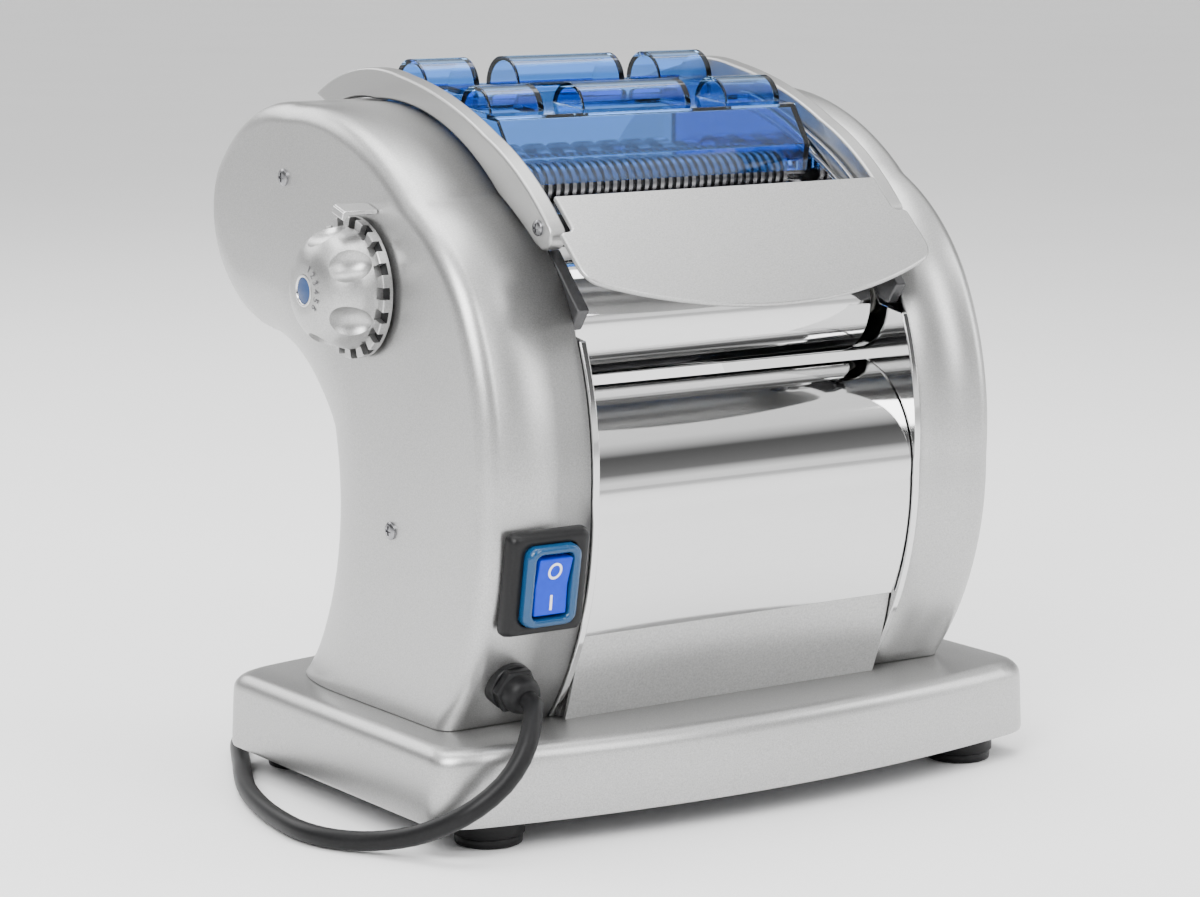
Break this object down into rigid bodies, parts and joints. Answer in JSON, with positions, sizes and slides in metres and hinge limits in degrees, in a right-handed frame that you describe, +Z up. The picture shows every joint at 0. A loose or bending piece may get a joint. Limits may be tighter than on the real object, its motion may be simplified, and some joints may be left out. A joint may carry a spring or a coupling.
{
  "type": "electric pasta roller machine",
  "caption": "Motor-driven table-top pasta machine: geared sheet rollers with a gap knob, two cutter pairs under a clear guard, a feed tray, a rocker switch and a coiled mains cord.",
  "frame": {"origin": "on the surface it stands on, under the centre of the bounding box measured without the cord, its coil and the plug", "axes": "+X along the rollers from the motor housing to the plain cover, -Y the front where the dough goes in, +Z up"},
  "size_m": [0.3348, 0.3453, 0.2997],
  "materials": {
    "silver_paint": "satin silver paint",
    "rim_metal": "silver, slightly glossier",
    "chrome": "polished",
    "satin_steel": "satin",
    "gear_steel": "dull",
    "black_rubber": "matt",
    "black_plastic": "satin black",
    "clear_blue": "transparent blue",
    "switch_blue": "translucent blue",
    "rocker_blue": "dark blue, glossy",
    "white_gear": "off-white",
    "motor_grey": "grey",
    "cap_blue": "dark blue"
  },
  "bodies": {
    "machine": {"base_bottom_plate": "satin_steel", "base_shell": "silver_paint", "cable_gland": "black_plastic", "chute_deck": "chrome", "cord_coil": "black_rubber", "foot_front_left": "black_rubber", "foot_front_right": "black_rubber", "foot_rear_left": "black_rubber", "foot_rear_right": "black_rubber", "front_panel": "silver_paint", "front_scraper": "satin_steel", "gear_motor": "motor_grey", "housing_screw_lower": "satin_steel", "housing_screw_upper": "satin_steel", "knob_latch": "chrome", "left_front_bracket": "black_plastic", "left_rim": "rim_metal", "left_roller_bush": "white_gear", "left_side_plate": "chrome", "left_tray_screw": "satin_steel", "mains_cord": "black_rubber", "mains_plug": "black_plastic", "motor_housing": "silver_paint", "narrow_cutter_comb": "satin_steel", "rear_panel": "silver_paint", "rear_scraper": "satin_steel", "rear_tie_bar": "satin_steel", "right_cover": "silver_paint", "right_front_bracket": "black_plastic", "right_rim": "rim_metal", "right_roller_bush": "white_gear", "right_side_plate": "chrome", "right_tray_screw": "satin_steel", "switch_bezel": "black_plastic", "switch_boot": "switch_blue", "wide_cutter_comb": "satin_steel"},
    "front_roller": {"front_roller": "chrome", "front_roller_drive_gear": "white_gear", "front_roller_gear": "gear_steel"},
    "roller_carrier": {"left_roller_block": "black_plastic", "right_roller_block": "black_plastic"},
    "rear_roller": {"rear_roller": "chrome", "rear_roller_gear": "gear_steel"},
    "knob": {"knob": "silver_paint", "knob_cap": "cap_blue", "eccentric_shaft": "satin_steel"},
    "drive_idler": {"drive_idler_gear": "white_gear"},
    "motor_pinion": {"motor_pinion": "gear_steel"},
    "cutter_idler": {"cutter_idler_gear": "gear_steel"},
    "narrow_cutter_front": {"narrow_cutter_front": "satin_steel", "narrow_cutter_front_gear": "gear_steel"},
    "narrow_cutter_rear": {"narrow_cutter_rear": "satin_steel", "narrow_cutter_rear_gear": "gear_steel"},
    "wide_cutter_front": {"wide_cutter_front": "satin_steel", "wide_cutter_front_gear": "gear_steel"},
    "wide_cutter_rear": {"wide_cutter_rear": "satin_steel", "wide_cutter_rear_gear": "gear_steel"},
    "switch_rocker": {"switch_rocker": "rocker_blue"},
    "feed_tray": {"feed_tray": "silver_paint"},
    "guard": {"guard": "clear_blue"}
  },
  "joints": [
    {"name": "front_roller_spin", "type": "hinge", "parent": "machine", "child": "front_roller", "pos_m": [0.00375, -0.05826, 0.2002], "axis": [1, 0, 0], "continuous": true},
    {"name": "roller_gap_slide", "type": "slide", "parent": "machine", "child": "roller_carrier", "axis": [0, -0.9674, -0.2532], "range_m": [0, 0.0018]},
    {"name": "rear_roller_spin", "type": "hinge", "parent": "roller_carrier", "child": "rear_roller", "pos_m": [0.00375, -0.01126, 0.2125], "axis": [1, 0, 0], "continuous": true},
    {"name": "knob_turn", "type": "hinge", "parent": "machine", "child": "knob", "pos_m": [0.00375, -0.01238, 0.21321], "axis": [-1, 0, 0], "range_deg": [0, 100]},
    {"name": "drive_idler_spin", "type": "hinge", "parent": "machine", "child": "drive_idler", "pos_m": [0.00375, -0.05076, 0.14672], "axis": [1, 0, 0], "continuous": true},
    {"name": "motor_pinion_spin", "type": "hinge", "parent": "machine", "child": "motor_pinion", "pos_m": [0.00375, -0.04276, 0.10142], "axis": [1, 0, 0], "continuous": true},
    {"name": "cutter_idler_spin", "type": "hinge", "parent": "machine", "child": "cutter_idler", "pos_m": [0.00375, -0.03657, 0.23306], "axis": [1, 0, 0], "continuous": true},
    {"name": "narrow_cutter_front_spin", "type": "hinge", "parent": "machine", "child": "narrow_cutter_front", "pos_m": [0.00375, -0.01776, 0.25], "axis": [1, 0, 0], "continuous": true},
    {"name": "narrow_cutter_rear_spin", "type": "hinge", "parent": "machine", "child": "narrow_cutter_rear", "pos_m": [0.00375, 0.00474, 0.25], "axis": [1, 0, 0], "continuous": true},
    {"name": "wide_cutter_front_spin", "type": "hinge", "parent": "machine", "child": "wide_cutter_front", "pos_m": [0.00375, 0.03474, 0.25], "axis": [1, 0, 0], "continuous": true},
    {"name": "wide_cutter_rear_spin", "type": "hinge", "parent": "machine", "child": "wide_cutter_rear", "pos_m": [0.00375, 0.05724, 0.25], "axis": [1, 0, 0], "continuous": true},
    {"name": "rocker_tip", "type": "hinge", "parent": "machine", "child": "switch_rocker", "pos_m": [-0.10125, -0.10716, 0.10517], "axis": [-1, 0, 0], "range_deg": [0, 16]},
    {"name": "tray_tilt", "type": "hinge", "parent": "machine", "child": "feed_tray", "pos_m": [0.00375, -0.07696, 0.2396], "axis": [-1, 0, 0], "range_deg": [0, 25]},
    {"name": "guard_lift", "type": "slide", "parent": "machine", "child": "guard", "axis": [0, 0, 1], "range_m": [0, 0.06]}
  ],
  "couplings": [
    {"joint": "knob_turn", "follows": "roller_gap_slide", "rad_per_m": 969.63},
    {"joint": "rear_roller_spin", "follows": "front_roller_spin", "ratio": -1},
    {"joint": "drive_idler_spin", "follows": "front_roller_spin", "ratio": -0.58823},
    {"joint": "motor_pinion_spin", "follows": "front_roller_spin", "ratio": 1.6667},
    {"joint": "cutter_idler_spin", "follows": "front_roller_spin", "ratio": -1.8},
    {"joint": "narrow_cutter_front_spin", "follows": "front_roller_spin", "ratio": 2.25},
    {"joint": "narrow_cutter_rear_spin", "follows": "front_roller_spin", "ratio": -2.25},
    {"joint": "wide_cutter_front_spin", "follows": "front_roller_spin", "ratio": 2.25},
    {"joint": "wide_cutter_rear_spin", "follows": "front_roller_spin", "ratio": -2.25}
  ]
}
